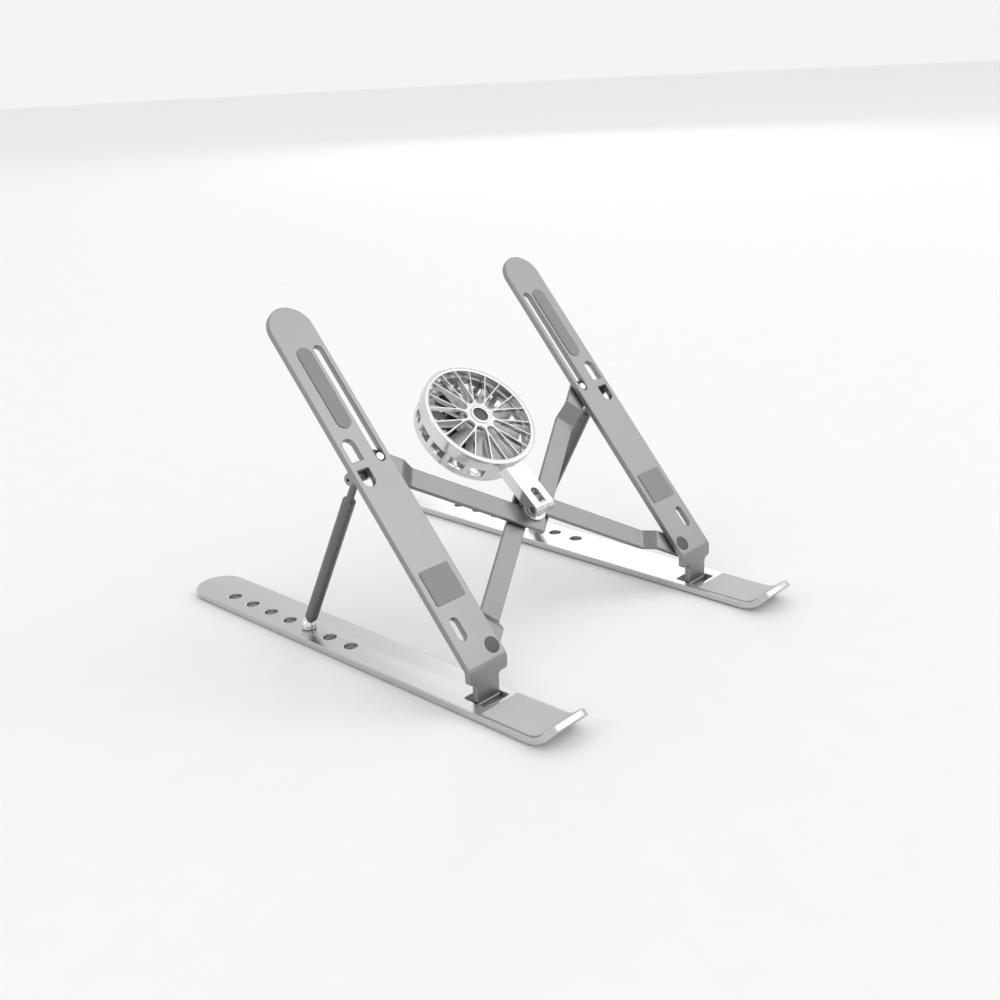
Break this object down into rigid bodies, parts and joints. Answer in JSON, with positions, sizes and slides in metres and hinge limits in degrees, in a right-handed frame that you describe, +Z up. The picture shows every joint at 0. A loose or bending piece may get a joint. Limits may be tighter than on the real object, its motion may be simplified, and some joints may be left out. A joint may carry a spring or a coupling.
{
  "type": "laptop cooling pad",
  "caption": "Folding laptop cooling stand: slanted arms hinged on base rails, propped by struts, joined by crossed bars that carry a tilting round fan.",
  "frame": {"origin": "centre of the bounding box, on the surface that the rubber feet rest on", "axes": "+X to the user's right, +Y away from the user towards the rear of the rails, +Z up"},
  "size_m": [0.181, 0.25, 0.1566],
  "materials": {
    "polished_aluminium": "polished, finely brushed",
    "satin_aluminium": "satin anodised",
    "bar_aluminium": "satin anodised",
    "pale_silicone": "matte silicone",
    "grey_silicone": "matte silicone",
    "black_rubber": "matte",
    "dark_anodised": "matte dark grey",
    "steel": "polished",
    "dark_steel": "dark satin",
    "bright_plate": "bright plated",
    "silver_plastic": "gloss silver",
    "magnet": "dull",
    "copper_core": "enamelled wire",
    "bronze": "sintered bronze",
    "board": "solder mask"
  },
  "bodies": {
    "left_base": {"left_rail": "polished_aluminium", "left_rail_pad": "pale_silicone", "left_rail_feet": "black_rubber", "left_hinge_pin": "steel"},
    "left_arm_body": {"left_arm": "satin_aluminium", "left_square_pad": "grey_silicone", "left_long_pad": "grey_silicone", "left_strut_pin": "steel", "left_corner_rivet": "dark_steel"},
    "bar_b_body": {"cross_bar_b": "bar_aluminium", "right_slider_pin": "steel"},
    "bar_a_body": {"cross_bar_a": "bar_aluminium", "left_slider_pin": "steel"},
    "right_arm_body": {"right_arm": "satin_aluminium", "right_square_pad": "grey_silicone", "right_long_pad": "grey_silicone", "right_strut_pin": "steel", "right_corner_rivet": "dark_steel"},
    "right_base": {"right_rail": "polished_aluminium", "right_rail_pad": "pale_silicone", "right_rail_feet": "black_rubber", "right_hinge_pin": "steel"},
    "left_strut_body": {"left_strut": "dark_anodised", "left_strut_ball": "steel"},
    "right_strut_body": {"right_strut": "dark_anodised", "right_strut_ball": "steel"},
    "fan_post_body": {"fan_post": "bright_plate", "cross_rivet": "steel", "cross_washer": "steel", "fan_hinge_pin": "dark_steel"},
    "fan_body": {"fan_bracket": "bright_plate", "front_grille": "bright_plate", "fan_housing": "bright_plate", "rear_cover": "bright_plate", "hub_cap": "dark_steel", "motor_stator": "copper_core", "motor_bearing": "bronze", "circuit_board": "board", "usb_socket": "steel", "cover_screws": "steel"},
    "impeller_body": {"impeller": "silver_plastic", "magnet_ring": "magnet", "motor_shaft": "steel"}
  },
  "joints": [
    {"name": "stand_fold", "type": "hinge", "parent": "left_base", "child": "left_arm_body", "pos_m": [0, -0.0769, 0.0024], "axis": [1, 0, 0], "range_deg": [-41, 0]},
    {"name": "scissor", "type": "hinge", "parent": "left_arm_body", "child": "bar_b_body", "pos_m": [-0.0692, -0.06878, 0.01965], "axis": [0, -0.7615, 0.6481], "range_deg": [0, 28.5]},
    {"name": "bar_a_turn", "type": "hinge", "parent": "bar_b_body", "child": "bar_a_body", "pos_m": [0, -0.03667, 0.0543], "axis": [0, -0.7615, 0.6481], "range_deg": [-57, 0]},
    {"name": "right_arm_turn", "type": "hinge", "parent": "bar_a_body", "child": "right_arm_body", "pos_m": [0.0692, -0.06878, 0.01965], "axis": [0, -0.7615, 0.6481], "range_deg": [0, 28.5]},
    {"name": "right_base_fold", "type": "hinge", "parent": "right_arm_body", "child": "right_base", "pos_m": [0, -0.0769, 0.0024], "axis": [1, 0, 0], "range_deg": [0, 41]},
    {"name": "left_strut_fold", "type": "hinge", "parent": "left_arm_body", "child": "left_strut_body", "pos_m": [-0.0815, -0.01091, 0.0895], "axis": [1, 0, 0], "range_deg": [0, 109.88]},
    {"name": "right_strut_fold", "type": "hinge", "parent": "right_arm_body", "child": "right_strut_body", "pos_m": [0.0815, -0.01091, 0.0895], "axis": [1, 0, 0], "range_deg": [0, 109.88]},
    {"name": "post_turn", "type": "hinge", "parent": "bar_a_body", "child": "fan_post_body", "pos_m": [0, -0.03667, 0.0543], "axis": [0, -0.7615, 0.6481], "range_deg": [0, 28.5]},
    {"name": "fan_tilt", "type": "hinge", "parent": "fan_post_body", "child": "fan_body", "pos_m": [0, -0.04302, 0.05826], "axis": [1, 0, 0], "range_deg": [0, 71.25]},
    {"name": "fan_spin", "type": "hinge", "parent": "fan_body", "child": "impeller_body", "pos_m": [0, -0.00324, 0.09283], "axis": [0, -0.6561, 0.7547], "continuous": true}
  ],
  "couplings": [
    {"joint": "bar_a_turn", "follows": "scissor", "ratio": -2},
    {"joint": "right_arm_turn", "follows": "scissor", "ratio": 1},
    {"joint": "post_turn", "follows": "scissor", "ratio": 1},
    {"joint": "fan_tilt", "follows": "scissor", "ratio": 2.5},
    {"joint": "right_base_fold", "follows": "stand_fold", "ratio": -1},
    {"joint": "left_strut_fold", "follows": "stand_fold", "ratio": -2.68},
    {"joint": "right_strut_fold", "follows": "stand_fold", "ratio": -2.68}
  ]
}
